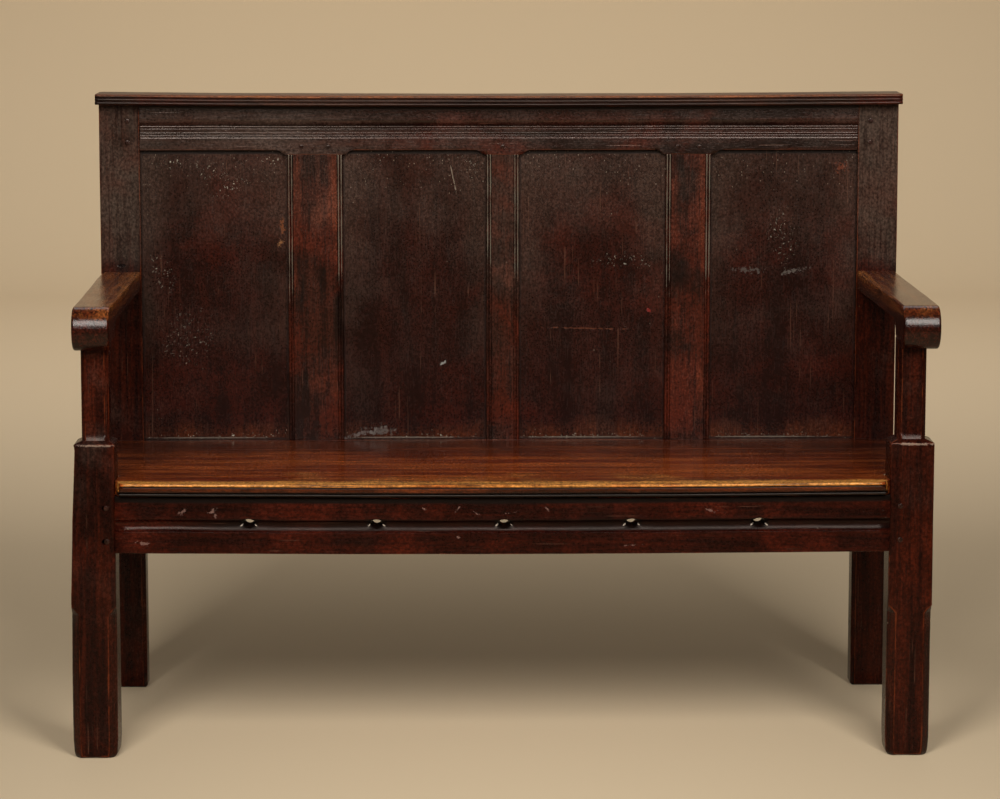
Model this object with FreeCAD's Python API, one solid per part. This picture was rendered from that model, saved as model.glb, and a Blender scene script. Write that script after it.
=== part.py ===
import FreeCAD, Part
import math
import os

os.makedirs("parts", exist_ok=True)

# Settle bench: an open joined frame with a four-panel back, two arms and a plank seat.
# Millimetres. X runs along the bench, the front faces -Y and Z is up from the floor.
# While pieces are drawn, Y is measured back from the front face of the front posts.

# Posts and the frame they stand in
post_span = 1400.0            # over the outer faces of the posts
frame_depth = 520.0           # front face of the front posts to front face of the back posts
back_post_width = 70.0
back_post_depth = 48.0
front_post_width = 72.0
front_post_depth = 62.0
foot_wear = 3.0               # bevel round the bottom of each foot

# Front posts: square block below, lighter square shaft above that carries the arm
block_rise = 74.0             # top of the block above the rear of the seat
shaft_front_inset = 6.5
shaft_back_inset = 6.5
shaft_inner_inset = 11.5
shaft_outer_inset = 14.0
shoulder_rise = 6.0           # height of the bevel from block to shaft
shaft_chamfer = 6.5
leg_chamfer = 14.0            # stopped chamfers on the lower front arrises
leg_chamfer_drop = 105.0      # stop of the chamfers below the seat rails
back_leg_chamfer = 8.0
back_leg_chamfer_drop = 45.0
chamfer_stop = 16.0           # length of the slope that ends each chamfer

# Arms
arm_rise = 300.0              # top of the arm above the rear of the seat
arm_thickness = 31.0
arm_front_width = 60.0
arm_back_width = 67.0
arm_side_inset = 1.5          # outer side of the arm inside the outer faces of the posts
arm_edge_round = 4.0
roll_radius = 35.5            # half round at the hand end, from the top of the arm to its underside
roll_reach = 38.0             # how far the roll stands in front of the posts
roll_lip = 8.0                # how far the roll laps down over the face of the post
arm_block_depth = 57.0        # arm height where it sits on the post
arm_cove = 26.0               # radius of the hollow behind the post

# Seat
seat_back_top = 447.0         # top of the seat where it meets the back
seat_fall = 14.0              # the seat is this much higher at its front edge
seat_thickness = 22.0
seat_nose = 35.0              # front edge in front of the posts
seat_side_inset = 3.0         # ends of the seat boards inside the outer faces of the posts
seat_joint = 124.0            # width of the rear board
seat_tongue = 7.0
seat_tongue_thickness = 7.0
nose_return = 12.5            # how much shorter the nose is at its front edge, each end
nose_round = 2.4              # radius of the upper bead of the nosing
nose_quirk = 3.5              # depth of the groove under it
nose_cove_back = 9.0
nose_foot_round = 2.4

# Rails round the seat
seat_rail_depth = 80.0        # lower edge of the rails below the rear of the seat boards
front_rail_thickness = 46.0
front_rail_proud = 12.0       # face of the front rail in front of the posts
front_rail_end_bevel = 1.5
back_rail_thickness = 55.0
back_rail_inset = 8.0         # back face inside the back face of the posts
side_rail_thickness = 30.0
side_rail_inset = 6.0
rope_hole_count = 5
rope_hole_pitch = 207.4
rope_hole_diameter = 17.0
rope_hole_rise = 49.0         # above the lower edge of the rails
rope_groove_radius = 11.0
rope_groove_rise = 45.5
rope_groove_depth = 7.0
bearer_width = 45.0
bearer_depth = 32.0
bearer_housing = 14.0
bearer_span = 622.0           # between the centres of the two bearers

# Back frame
rail_setback = 4.0            # faces of top rail and muntins behind the faces of the stiles
top_rail_thickness = 36.0
top_rail_width = 81.0         # to the straight part of the lower edge, over the panels
top_rail_dip = 8.0            # the lower edge drops to meet the muntins
dip_run = 20.0                # length of the curved shoulder beside a muntin
reed_heights = (25.6, 29.8, 36.6, 41.1)   # centres of the reeds above the straight lower edge
reed_radius = 2.0
reed_depth = 1.2              # how deep the band between the reeds is scratched
reed_band = (23.2, 43.6)
muntin_thickness = 30.0
muntins = (("left", 97.0, 1.6), ("centre", 58.0, -2.7), ("right", 79.5, -1.6))   # name, width, shift
muntin_reed_radius = 2.3
muntin_reeds = (2.5, 7.5)     # centres of the two reeds in from each edge
muntin_reed_band = 10.2
panel_thickness = 11.0
panel_face = 12.0             # face of the panels behind the face of the muntins
panel_tongue = 8.0            # how far each panel edge runs into its groove
groove_room = 1.0             # free depth left in each groove for the panel to swell

# Capping board
cap_top = 1060.0
cap_thickness = 18.0
cap_depth = 88.0
cap_front_overhang = 28.0
cap_side_overhang = 3.5
cap_reeds = 3
cap_reed_depth = 2.7
cap_corner_clip = 4.0

# Joints
peg_sides = 8
tenon_thickness = 12.0
tenon_shoulder = 10.0         # set in from the edges of a rail
front_tenon_length = 40.0
side_tenon_length = 30.0
top_tenon_length = 38.0
muntin_tenon_length = 28.0
arm_tenon_length = 30.0
arm_tenon_width = 34.0
arm_tenon_height = 18.0
post_tenon_height = 30.0
post_tenon_width = 24.0
peg_diameter = 9.0
small_peg_diameter = 7.0
peg_length = 38.0
side_peg_length = 28.0
cap_peg_length = 40.0
cap_peg_insets = (60.0, 350.0)   # in from the ends of the top rail
front_peg_rises = (16.5, 72.0)   # above the lower edge of the seat rails
back_peg_rises = (21.0, 59.0)
top_peg_rises = (13.0, 51.0)     # above the straight lower edge of the top rail
front_peg_inset = 18.0        # pegs in from the shoulder of the front rail
back_peg_inset = 21.0
joint_gap = 0.2               # all round a tenon in its mortise
peg_gap = 0.15
seat_gap = 0.3                # round the posts where the seat boards are notched

# Places that follow from the driving sizes
half_span = post_span / 2
back_inner = half_span - back_post_width
front_inner = half_span - front_post_width
back_face = frame_depth
back_rear = frame_depth + back_post_depth
post_top = cap_top - cap_thickness
top_rail_bottom = post_top - top_rail_width
rail_bottom = seat_back_top - seat_thickness - seat_rail_depth
block_top = seat_back_top + block_rise
arm_top = seat_back_top + arm_rise
rope_hole_height = rail_bottom + rope_hole_rise
rope_groove_height = rail_bottom + rope_groove_rise
front_peg_heights = [rail_bottom + rise for rise in front_peg_rises]
back_peg_heights = [rail_bottom + rise for rise in back_peg_rises]
top_peg_heights = [top_rail_bottom + rise for rise in top_peg_rises]
rail_face = back_face + rail_setback
panel_front = rail_face + panel_face
panel_rear = panel_front + panel_thickness
panel_middle = (panel_front + panel_rear) / 2
seat_slope = seat_fall / (frame_depth + seat_nose)
front_rail_front = -front_rail_proud
front_rail_rear = front_rail_front + front_rail_thickness
back_rail_rear = back_rear - back_rail_inset
back_rail_front = back_rail_rear - back_rail_thickness
side_rail_outer = half_span - side_rail_inset
side_rail_inner = side_rail_outer - side_rail_thickness
side_rail_middle = (side_rail_outer + side_rail_inner) / 2
shaft_inner = front_inner + shaft_inner_inset
shaft_outer = half_span - shaft_outer_inset
shaft_front = shaft_front_inset
shaft_rear = front_post_depth - shaft_back_inset
shaft_middle_x = (shaft_inner + shaft_outer) / 2
shaft_middle_y = (shaft_front + shaft_rear) / 2
arm_seat = arm_top - arm_block_depth
arm_underside = arm_top - arm_thickness
arm_outer = half_span - arm_side_inset
cap_front = back_face - cap_front_overhang
cap_rear = cap_front + cap_depth
depth_middle = (cap_rear - roll_reach) / 2
seat_board_joint = frame_depth - seat_joint


def seat_top(y):
    return seat_back_top + (frame_depth - y) * seat_slope


def seat_under(y):
    return seat_top(y) - seat_thickness


def vector(plane, a, b, along=0.0):
    if plane == "YZ":
        return FreeCAD.Vector(along, a, b)
    if plane == "XZ":
        return FreeCAD.Vector(a, along, b)
    return FreeCAD.Vector(a, b, along)


# Extrudes an outline from low to high across its plane. Each step of the outline is the
# end of a straight line (a, b) or an arc through a middle point (mid_a, mid_b, a, b).
def prism(plane, start, steps, low, high):
    edges = []
    here = start
    for step in steps + [start]:
        end = step[-2:]
        first = vector(plane, here[0], here[1], low)
        last = vector(plane, end[0], end[1], low)
        if len(step) == 4:
            middle = vector(plane, step[0], step[1], low)
            edges.append(Part.Arc(first, middle, last).toShape())
        elif first.distanceToPoint(last) > 1e-6:
            edges.append(Part.makeLine(first, last))
        here = end
    face = Part.Face(Part.Wire(edges))
    return face.extrude(vector(plane, 0.0, 0.0, high - low))


# A box given as (x low, x high, y low, y high, z low, z high)
def block(sides):
    x_low, x_high, y_low, y_high, z_low, z_high = sides
    corner = FreeCAD.Vector(x_low, y_low, z_low)
    return Part.makeBox(x_high - x_low, y_high - y_low, z_high - z_low, corner)


# The hollow for a tenon is the tenon's own box with a gap all round
def mortise(sides):
    x_low, x_high, y_low, y_high, z_low, z_high = sides
    return block((x_low - joint_gap, x_high + joint_gap, y_low - joint_gap,
                  y_high + joint_gap, z_low - joint_gap, z_high + joint_gap))


def mirrored(shape):
    return shape.mirror(FreeCAD.Vector(0, 0, 0), FreeCAD.Vector(1, 0, 0))


def mirrored_box(sides):
    return (-sides[1], -sides[0]) + sides[2:]


# A peg is (x, y, z of its outer end, direction of its inner end, diameter, length). Pegs are
# riven eight-sided sticks, and each hole takes its peg's shape with a gap round it.
def peg(place, gap=0.0):
    x, y, z, direction, diameter, length = place
    axis = FreeCAD.Vector(*direction)
    across = FreeCAD.Vector(1, 0, 0) if direction[0] == 0 else FreeCAD.Vector(0, 1, 0)
    aside = axis.cross(across)
    radius = diameter / 2 + gap
    corners = []
    for i in range(peg_sides + 1):
        turn = 2 * math.pi * (i + 0.5) / peg_sides
        corners.append(FreeCAD.Vector(x, y, z) + across * (radius * math.cos(turn))
                       + aside * (radius * math.sin(turn)))
    return Part.Face(Part.makePolygon(corners)).extrude(axis * length)


def mirrored_peg(place):
    x, y, z, direction, diameter, length = place
    return (-x, y, z, (-direction[0], direction[1], direction[2]), diameter, length)


def cut_all(shape, tools):
    for tool in tools:
        shape = shape.cut(tool)
    return shape.removeSplitter()


def peg_holes(places):
    return [peg(place, peg_gap) for place in places]


# A chamfer along an upright arris that runs out in a sloped stop at its top
def stopped_chamfer(x, y, toward_x, toward_y, width, top):
    corner = (x - toward_x, y - toward_y)
    along_x = (x + toward_x * width, y - toward_y)
    along_y = (x - toward_x, y + toward_y * width)
    wires = []
    for z, size in ((-1.0, 1.0), (top, 1.0), (top + chamfer_stop, 0.02)):
        points = []
        for a, b in (corner, along_x, along_y):
            points.append(FreeCAD.Vector(corner[0] + (a - corner[0]) * size,
                                         corner[1] + (b - corner[1]) * size, z))
        wires.append(Part.makePolygon(points + [points[0]]))
    return Part.makeLoft(wires, True, True)


def edges_at(shape, test):
    return [edge for edge in shape.Edges if test(edge.BoundBox)]


def worn_foot(shape):
    bottom = edges_at(shape, lambda box: box.ZMax < 0.01)
    return shape.makeChamfer(foot_wear, bottom)


# Tenon boxes and pegs of the right-hand joints, shared by both pieces of each joint
tenon_top = seat_under(front_post_depth) - tenon_shoulder
tenon_bottom = rail_bottom + tenon_shoulder

front_rail_tenon = (front_inner, front_inner + front_tenon_length,
                    tenon_shoulder, tenon_shoulder + tenon_thickness, tenon_bottom, tenon_top)
back_tenon_top = seat_under(frame_depth) - tenon_shoulder
back_rail_tenon = (back_inner, back_inner + front_tenon_length,
                   panel_middle - tenon_thickness / 2, panel_middle + tenon_thickness / 2,
                   tenon_bottom, back_tenon_top)
side_front_tenon = (side_rail_middle - tenon_thickness / 2, side_rail_middle + tenon_thickness / 2,
                    front_post_depth - side_tenon_length, front_post_depth,
                    tenon_bottom, back_tenon_top)
side_back_tenon = side_front_tenon[:2] + (back_face, back_face + side_tenon_length) + side_front_tenon[4:]
top_rail_tenon = (back_inner, back_inner + top_tenon_length,
                  panel_middle - tenon_thickness / 2, panel_middle + tenon_thickness / 2,
                  top_rail_bottom + tenon_shoulder, post_top - tenon_shoulder)
arm_middle_back = arm_outer - arm_back_width / 2
arm_tenon = (arm_middle_back - arm_tenon_width / 2, arm_middle_back + arm_tenon_width / 2,
             back_face, back_face + arm_tenon_length,
             arm_underside + (arm_thickness - arm_tenon_height) / 2,
             arm_underside + (arm_thickness + arm_tenon_height) / 2)
post_tenon = (shaft_middle_x - post_tenon_width / 2, shaft_middle_x + post_tenon_width / 2,
              shaft_middle_y - post_tenon_width / 2, shaft_middle_y + post_tenon_width / 2,
              arm_seat, arm_seat + post_tenon_height)

front_rail_pegs = [(front_inner + front_peg_inset, 0.0, z, (0, 1, 0), peg_diameter, peg_length)
                   for z in front_peg_heights]
back_rail_pegs = [(back_inner + back_peg_inset, back_rear, z, (0, -1, 0), peg_diameter, peg_length)
                  for z in back_peg_heights]
top_rail_pegs = [(back_inner + back_peg_inset, back_face, z, (0, 1, 0), peg_diameter, peg_length)
                 for z in top_peg_heights]
side_front_pegs = [(half_span, front_post_depth - side_tenon_length / 2, z, (-1, 0, 0),
                    peg_diameter, side_peg_length) for z in back_peg_heights]
side_back_pegs = [(half_span, back_face + side_tenon_length / 2, z, (-1, 0, 0),
                   peg_diameter, side_peg_length) for z in back_peg_heights]
arm_post_peg = (arm_outer, shaft_middle_y, arm_seat + post_tenon_height / 2, (-1, 0, 0),
                small_peg_diameter, peg_length)
arm_stile_peg = (half_span, back_face + arm_tenon_length / 2, arm_underside + arm_thickness / 2,
                 (-1, 0, 0), small_peg_diameter, peg_length)


# Muntin edges, left to right: equal openings with the small errors of setting out by hand
def muntin_places():
    clear = 2 * back_inner
    opening = (clear - sum(width for name, width, shift in muntins)) / (len(muntins) + 1)
    places = []
    left = -back_inner
    for name, width, shift in muntins:
        left = left + opening
        places.append((name, left + shift, left + shift + width))
        left = left + width
    return places


def muntin_tenon(left, right, top):
    z = top_rail_bottom - top_rail_dip if top else seat_back_top
    low, high = (z, z + muntin_tenon_length) if top else (z - muntin_tenon_length, z)
    return (left + tenon_shoulder, right - tenon_shoulder,
            panel_middle - tenon_thickness / 2, panel_middle + tenon_thickness / 2, low, high)


# Wide muntins have two pegs at each end, narrow ones have one
def muntin_pegs(left, right, top):
    middle = (left + right) / 2
    offsets = (-0.24 * (right - left), 0.24 * (right - left)) if right - left > 70.0 else (0.0,)
    tenon = muntin_tenon(left, right, top)
    z = (tenon[4] + tenon[5]) / 2
    pegs = []
    for offset in offsets:
        if top:
            pegs.append((middle + offset, rail_face, z, (0, 1, 0), small_peg_diameter,
                         top_rail_thickness))
        else:
            pegs.append((middle + offset, back_rail_rear, z, (0, -1, 0), small_peg_diameter,
                         back_rail_rear - back_face))
    return pegs


def panel_openings():
    edges = [-back_inner]
    for name, left, right in muntin_places():
        edges = edges + [left, right]
    edges.append(back_inner)
    return [(edges[i], edges[i + 1]) for i in range(0, len(edges), 2)]


# The groove that holds the panels, as a box from x low to x high and z low to z high
def panel_groove(x_low, x_high, z_low, z_high):
    return block((x_low, x_high, panel_front - joint_gap, panel_rear + joint_gap, z_low, z_high))


def make_back_post():
    post = block((back_inner, half_span, back_face, back_rear, 0.0, post_top))
    post = worn_foot(post)
    depth = panel_tongue + groove_room
    tools = [panel_groove(back_inner - 1.0, back_inner + depth, seat_back_top - depth,
                          top_rail_bottom + depth)]
    tools += [mortise(sides) for sides in (back_rail_tenon, side_back_tenon, top_rail_tenon, arm_tenon)]
    tools += peg_holes(back_rail_pegs + side_back_pegs + top_rail_pegs + [arm_stile_peg])
    tools.append(stopped_chamfer(back_inner, back_face, 1, 1, back_leg_chamfer,
                                 rail_bottom - back_leg_chamfer_drop))
    return cut_all(post, tools)


def make_front_post():
    post = block((front_inner, half_span, 0.0, front_post_depth, 0.0, block_top))
    post = worn_foot(post)
    base = Part.makePolygon([FreeCAD.Vector(x, y, block_top) for x, y in (
        (front_inner, 0), (half_span, 0), (half_span, front_post_depth),
        (front_inner, front_post_depth), (front_inner, 0))])
    neck_height = block_top + shoulder_rise
    neck = Part.makePolygon([FreeCAD.Vector(x, y, neck_height) for x, y in (
        (shaft_inner, shaft_front), (shaft_outer, shaft_front), (shaft_outer, shaft_rear),
        (shaft_inner, shaft_rear), (shaft_inner, shaft_front))])
    shoulders = Part.makeLoft([base, neck], True, True)
    shaft = block((shaft_inner, shaft_outer, shaft_front, shaft_rear, neck_height, arm_seat))
    upright = edges_at(shaft, lambda box: box.ZLength > arm_seat - neck_height - 1.0)
    shaft = shaft.makeChamfer(shaft_chamfer, upright)
    post = post.fuse([shoulders, shaft, block(post_tenon)]).removeSplitter()
    tools = [mortise(front_rail_tenon), mortise(side_front_tenon)]
    tools += peg_holes(front_rail_pegs + side_front_pegs + [arm_post_peg])
    stop = rail_bottom - leg_chamfer_drop
    tools.append(stopped_chamfer(front_inner, 0.0, 1, 1, leg_chamfer, stop))
    tools.append(stopped_chamfer(half_span, 0.0, -1, 1, leg_chamfer, stop))
    return cut_all(post, tools)


# The arm is its side outline swept across, then trimmed to its tapering plan
def make_arm():
    roll_y = roll_radius - roll_reach
    roll_foot = arm_top - 2 * roll_radius
    cove_start = front_post_depth
    cove_turn = arm_cove * math.sqrt(0.5)
    steps = [
        (back_face, arm_underside),
        (cove_start + arm_cove, arm_underside),
        (cove_start + arm_cove - cove_turn, arm_seat + cove_turn, cove_start, arm_seat),
        (shaft_front, arm_seat),
        (shaft_front, arm_seat - roll_lip),
        (roll_y, roll_foot),
        (-roll_reach, arm_top - roll_radius, roll_y, arm_top),
    ]
    bar = prism("YZ", (back_face, arm_top), steps, back_inner - 10.0, arm_outer)
    front_inner_side = arm_outer - arm_front_width
    back_inner_side = arm_outer - arm_back_width
    plan = [(front_inner_side, -roll_reach - 1.0), (arm_outer + 1.0, -roll_reach - 1.0),
            (arm_outer + 1.0, back_face + 1.0), (back_inner_side, back_face + 1.0)]
    arm = bar.common(prism("XY", plan[0], plan[1:], arm_seat - 60.0, arm_top + 1.0))
    tops = edges_at(arm, lambda box: box.ZMin > arm_top - 0.01 and box.YLength > 200.0)
    arm = arm.makeFillet(arm_edge_round, tops)
    arm = arm.fuse(block(arm_tenon))
    return cut_all(arm, [mortise(post_tenon)] + peg_holes([arm_post_peg, arm_stile_peg]))


def rope_hole_places():
    middle = (rope_hole_count - 1) / 2
    return [(i - middle) * rope_hole_pitch for i in range(rope_hole_count)]


# A hole bored through a rail for the seat cord
def rope_hole(x, front, rear):
    return Part.makeCylinder(rope_hole_diameter / 2, rear - front + 2.0,
                             FreeCAD.Vector(x, front - 1.0, rope_hole_height),
                             FreeCAD.Vector(0, 1, 0))


def bearer_places():
    return (-bearer_span / 2, bearer_span / 2)


def bearer_box(x):
    return (x - bearer_width / 2, x + bearer_width / 2,
            front_rail_rear - bearer_housing, back_rail_front + bearer_housing)


# The bearers are let into the inner faces of the front and back rails
def bearer_housings():
    tools = []
    for x in bearer_places():
        x_low, x_high, y_low, y_high = bearer_box(x)
        z_low = seat_under(frame_depth) - bearer_depth
        tools.append(block((x_low, x_high, y_low, y_high, z_low, seat_top(0.0))))
    return tools


def make_front_rail():
    start = (front_rail_front, rail_bottom)
    steps = [(front_rail_rear, rail_bottom), (front_rail_rear, seat_under(front_rail_rear)),
             (front_rail_front, seat_under(front_rail_front))]
    rail = prism("YZ", start, steps, -front_inner, front_inner)
    ends = edges_at(rail, lambda box: box.YMax < front_rail_front + 0.01 and box.ZLength > 50.0)
    rail = rail.makeChamfer(front_rail_end_bevel, ends)
    rail = rail.fuse([block(front_rail_tenon), block(mirrored_box(front_rail_tenon))])
    groove_y = front_rail_front + rope_groove_depth - rope_groove_radius
    groove = Part.makeCylinder(rope_groove_radius, 2 * front_inner,
                               FreeCAD.Vector(-front_inner, groove_y, rope_groove_height),
                               FreeCAD.Vector(1, 0, 0))
    tools = [groove]
    tools += [rope_hole(x, front_rail_front, front_rail_rear) for x in rope_hole_places()]
    tools += bearer_housings()
    tools += peg_holes(front_rail_pegs + [mirrored_peg(place) for place in front_rail_pegs])
    return cut_all(rail, tools)


# The back rail carries the rear edge of the seat in a rebate and the panels in a groove
def make_back_rail():
    under = seat_under(frame_depth)
    start = (back_rail_front, rail_bottom)
    steps = [(back_rail_rear, rail_bottom), (back_rail_rear, seat_back_top),
             (back_face, seat_back_top), (back_face, under),
             (back_rail_front, seat_under(back_rail_front))]
    rail = prism("YZ", start, steps, -back_inner, back_inner)
    rail = rail.fuse([block(back_rail_tenon), block(mirrored_box(back_rail_tenon))])
    depth = panel_tongue + groove_room
    tools = [panel_groove(-back_inner, back_inner, seat_back_top - depth, seat_back_top + 1.0)]
    for name, left, right in muntin_places():
        tools.append(mortise(muntin_tenon(left, right, False)))
        tools += peg_holes(muntin_pegs(left, right, False))
    tools += [rope_hole(x, back_rail_front, back_rail_rear) for x in rope_hole_places()]
    tools += bearer_housings()
    tools += peg_holes(back_rail_pegs + [mirrored_peg(place) for place in back_rail_pegs])
    return cut_all(rail, tools)


def make_side_rail():
    start = (front_post_depth, rail_bottom)
    steps = [(back_face, rail_bottom), (back_face, seat_under(back_face)),
             (front_post_depth, seat_under(front_post_depth))]
    rail = prism("YZ", start, steps, side_rail_inner, side_rail_outer)
    rail = rail.fuse([block(side_front_tenon), block(side_back_tenon)])
    return cut_all(rail, peg_holes(side_front_pegs + side_back_pegs))


def make_bearer(x):
    x_low, x_high, y_low, y_high = bearer_box(x)
    z_low = seat_under(frame_depth) - bearer_depth
    start = (y_low, z_low)
    steps = [(y_high, z_low), (y_high, seat_under(y_high)), (y_low, seat_under(y_low))]
    return prism("YZ", start, steps, x_low, x_high)


# Tongue on the rear board's front edge, or with a gap the groove for it in the front board
def seat_tongue_box(gap):
    middle = seat_top(seat_board_joint) - seat_thickness / 2
    half = seat_tongue_thickness / 2 + gap
    half_length = half_span - seat_side_inset
    return block((-half_length, half_length, seat_board_joint - seat_tongue - gap,
                  seat_board_joint + gap, middle - half, middle + half))


# Moulded nosing, from the top down: round bead, quirk, cove and a small round foot
def make_seat_board_front():
    front = -seat_nose
    top = seat_top(front)
    under = seat_under(front)
    quirk = top - 2 * nose_round
    fillet = quirk - 1.6
    cove_foot = under + 2 * nose_foot_round
    cove_y = front + nose_cove_back
    steps = [
        (seat_board_joint, seat_under(seat_board_joint)),
        (cove_y + nose_foot_round, seat_under(cove_y + nose_foot_round)),
        (cove_y, under + nose_foot_round, cove_y + nose_foot_round, cove_foot),
        (cove_y + nose_foot_round - 1.0, cove_foot),
        (front + nose_quirk + 0.6, (fillet + cove_foot) / 2 - 1.0, front + 1.5, fillet),
        (front + nose_quirk, quirk),
        (front + nose_round, quirk),
        (front, top - nose_round, front + nose_round, seat_top(front + nose_round)),
    ]
    half_length = half_span - seat_side_inset
    board = prism("YZ", (seat_board_joint, seat_top(seat_board_joint)), steps, -half_length, half_length)
    tools = [seat_tongue_box(joint_gap)]
    notch_x = front_inner - seat_gap
    notch_y = front_post_depth + seat_gap
    for side in (-1, 1):
        plan = [(side * notch_x, notch_y), (side * notch_x, 0.0),
                (side * (notch_x - nose_return), -seat_nose), (side * (notch_x - nose_return), -seat_nose - 5.0),
                (side * (half_span + 5.0), -seat_nose - 5.0), (side * (half_span + 5.0), notch_y)]
        tools.append(prism("XY", plan[0], plan[1:], rail_bottom, block_top))
    return cut_all(board, tools)


def make_seat_board_back():
    half_length = half_span - seat_side_inset
    start = (back_face, seat_top(back_face))
    steps = [(back_face, seat_under(back_face)), (seat_board_joint, seat_under(seat_board_joint)),
             (seat_board_joint, seat_top(seat_board_joint))]
    board = prism("YZ", start, steps, -half_length, half_length)
    return board.fuse(seat_tongue_box(0.0)).removeSplitter()


# Lower edge of the top rail: straight over the panels, with an ogee down to each muntin
def make_top_rail():
    low = top_rail_bottom - top_rail_dip
    steps = []
    for name, left, right in muntin_places():
        steps += [
            (left - dip_run, top_rail_bottom),
            (left - dip_run * 0.72, top_rail_bottom - top_rail_dip * 0.12,
             left - dip_run * 0.5, top_rail_bottom - top_rail_dip * 0.5),
            (left - dip_run * 0.28, low + top_rail_dip * 0.12, left, low),
            (right, low),
            (right + dip_run * 0.28, low + top_rail_dip * 0.12,
             right + dip_run * 0.5, top_rail_bottom - top_rail_dip * 0.5),
            (right + dip_run * 0.72, top_rail_bottom - top_rail_dip * 0.12,
             right + dip_run, top_rail_bottom),
        ]
    steps += [(back_inner, top_rail_bottom), (back_inner, post_top), (-back_inner, post_top)]
    rail = prism("XZ", (-back_inner, top_rail_bottom), steps, rail_face, rail_face + top_rail_thickness)
    rail = rail.fuse([block(top_rail_tenon), block(mirrored_box(top_rail_tenon))])
    depth = panel_tongue + groove_room
    tools = [panel_groove(-back_inner, back_inner, low - 1.0, top_rail_bottom + depth)]
    for name, left, right in muntin_places():
        tools.append(mortise(muntin_tenon(left, right, True)))
        tools += peg_holes(muntin_pegs(left, right, True))
    tools += peg_holes(top_rail_pegs + [mirrored_peg(place) for place in top_rail_pegs])
    tools.append(reed_cutter())
    return cut_all(rail, tools)


# What is scratched away to leave the reeds standing in a shallow band
def reed_cutter():
    band = block((-back_inner - 1.0, back_inner + 1.0, rail_face - 1.0, rail_face + reed_depth,
                  top_rail_bottom + reed_band[0], top_rail_bottom + reed_band[1]))
    reeds = [Part.makeCylinder(reed_radius, 2 * back_inner + 4.0,
                               FreeCAD.Vector(-back_inner - 2.0, rail_face + reed_radius,
                                              top_rail_bottom + height),
                               FreeCAD.Vector(1, 0, 0)) for height in reed_heights]
    return band.cut(reeds[0].fuse(reeds[1:]))


def make_muntin(left, right):
    low = seat_back_top
    high = top_rail_bottom - top_rail_dip
    bar = block((left, right, rail_face, rail_face + muntin_thickness, low, high))
    bar = bar.fuse([block(muntin_tenon(left, right, False)), block(muntin_tenon(left, right, True))])
    depth = panel_tongue + groove_room
    tools = [panel_groove(left - 1.0, left + depth, low - 1.0, high + 1.0),
             panel_groove(right - depth, right + 1.0, low - 1.0, high + 1.0)]
    for edge, inward in ((left, 1), (right, -1)):
        ends = sorted((edge - inward * 1.0, edge + inward * muntin_reed_band))
        band = block((ends[0], ends[1], rail_face - 1.0, rail_face + muntin_reed_radius, low - 1.0, high + 1.0))
        reeds = [Part.makeCylinder(muntin_reed_radius, high - low + 4.0,
                                   FreeCAD.Vector(edge + inward * offset, rail_face + muntin_reed_radius,
                                                  low - 2.0)) for offset in muntin_reeds]
        tools.append(band.cut(reeds[0].fuse(reeds[1:])))
    tools += peg_holes(muntin_pegs(left, right, False) + muntin_pegs(left, right, True))
    return cut_all(bar, tools)


def make_panel(left, right):
    return block((left - panel_tongue, right + panel_tongue, panel_front, panel_rear,
                  seat_back_top - panel_tongue, top_rail_bottom + panel_tongue))


# Capping board with reeds along its front edge and clipped rear corners
def make_cap():
    half_length = half_span + cap_side_overhang
    cap = block((-half_length, half_length, cap_front, cap_rear, post_top, cap_top))
    corners = edges_at(cap, lambda box: box.YMin > cap_rear - 0.01 and box.ZLength > cap_thickness - 0.1)
    cap = cap.makeChamfer(cap_corner_clip, corners)
    pitch = cap_thickness / cap_reeds
    band = block((-half_length - 1.0, half_length + 1.0, cap_front - 1.0, cap_front + cap_reed_depth,
                  post_top - 1.0, cap_top + 1.0))
    reeds = [Part.makeCylinder(cap_reed_depth, 2 * half_length + 4.0,
                               FreeCAD.Vector(-half_length - 2.0, cap_front + cap_reed_depth,
                                              post_top + (i + 0.5) * pitch),
                               FreeCAD.Vector(1, 0, 0)) for i in range(cap_reeds)]
    tools = [band.cut(reeds[0].fuse(reeds[1:]))]
    tools += peg_holes(cap_peg_places())
    return cut_all(cap, tools)


# Pegs that hold the capping board down on the top rail
def cap_peg_places():
    places = []
    for inset in cap_peg_insets:
        for side in (-1, 1):
            places.append((side * (back_inner - inset), rail_face + top_rail_thickness / 2,
                           cap_top, (0, 0, -1), small_peg_diameter, cap_peg_length))
    return places


def group(places):
    return Part.makeCompound([peg(place) for place in places])


def both_sides(places):
    return group(places + [mirrored_peg(place) for place in places])


def all_muntin_pegs():
    places = []
    for name, left, right in muntin_places():
        places += muntin_pegs(left, right, True) + muntin_pegs(left, right, False)
    return places


nodes = {}
for name, piece in (("back_post", make_back_post()), ("front_post", make_front_post()),
                    ("arm", make_arm()), ("side_rail", make_side_rail())):
    nodes[name + "_right"] = piece
    nodes[name + "_left"] = mirrored(piece)
nodes["front_rail"] = make_front_rail()
nodes["back_seat_rail"] = make_back_rail()
nodes["top_rail"] = cut_all(make_top_rail(), peg_holes(cap_peg_places()))
for name, left, right in muntin_places():
    nodes["muntin_" + name] = make_muntin(left, right)
for number, (left, right) in enumerate(panel_openings(), start=1):
    nodes["back_panel_%d" % number] = make_panel(left, right)
nodes["cap_board"] = make_cap()
for name, x in zip(("left", "right"), bearer_places()):
    nodes["seat_bearer_" + name] = make_bearer(x)
nodes["seat_board_front"] = make_seat_board_front()
nodes["seat_board_back"] = make_seat_board_back()
nodes["front_rail_pegs"] = both_sides(front_rail_pegs)
nodes["back_rail_pegs"] = both_sides(back_rail_pegs)
nodes["side_rail_pegs"] = both_sides(side_front_pegs + side_back_pegs)
nodes["top_rail_pegs"] = both_sides(top_rail_pegs)
nodes["muntin_pegs"] = group(all_muntin_pegs())
nodes["arm_pegs"] = both_sides([arm_post_peg, arm_stile_peg])
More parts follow.
